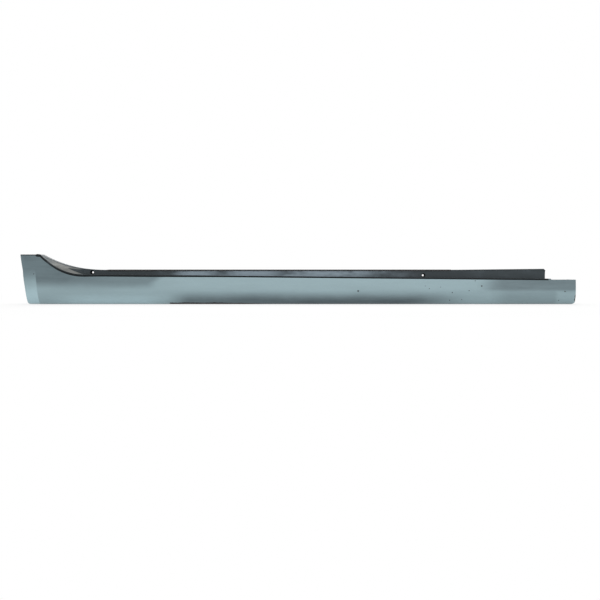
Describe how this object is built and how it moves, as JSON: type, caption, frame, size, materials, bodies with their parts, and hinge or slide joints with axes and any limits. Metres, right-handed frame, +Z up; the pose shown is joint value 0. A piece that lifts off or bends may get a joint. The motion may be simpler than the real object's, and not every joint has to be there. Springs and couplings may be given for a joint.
{
  "type": "door sill trim",
  "caption": "Long painted outer sill trim for a car: a shell with a raised front end, an upper mounting flange, clips, spring nuts, foam blocks and an edge seal.",
  "frame": {"origin": "middle of the underside: half-way along the length and half-way through the depth of the panel's box, at the height of the flat underside", "axes": "+X along the sill to the car's rear, +Y into the car, +Z up; the painted face looks towards -Y"},
  "size_m": [1.951, 0.096, 0.1764],
  "materials": {
    "painted_panel": "metallic grey-green paint with worn clear coat on injection-moulded plastic; the flange and back are bare",
    "seal_rubber": "satin black",
    "clip_nylon": "natural moulded",
    "spring_steel": "zinc plated",
    "foam": "open-cell foam"
  },
  "bodies": {
    "root": {"sill_panel": "painted_panel", "edge_seal": "seal_rubber", "retaining_clip_1": "clip_nylon", "retaining_clip_2": "clip_nylon", "retaining_clip_3": "clip_nylon", "retaining_clip_4": "clip_nylon", "retaining_clip_5": "clip_nylon", "retaining_clip_6": "clip_nylon", "retaining_clip_7": "clip_nylon", "retaining_clip_8": "clip_nylon", "retaining_clip_9": "clip_nylon", "front_spring_nut_1": "spring_steel", "front_spring_nut_2": "spring_steel", "rear_spring_nut_1": "spring_steel", "rear_spring_nut_2": "spring_steel", "foam_block_1": "foam", "foam_block_2": "foam", "foam_block_3": "foam", "foam_block_4": "foam"}
  },
  "joints": []
}
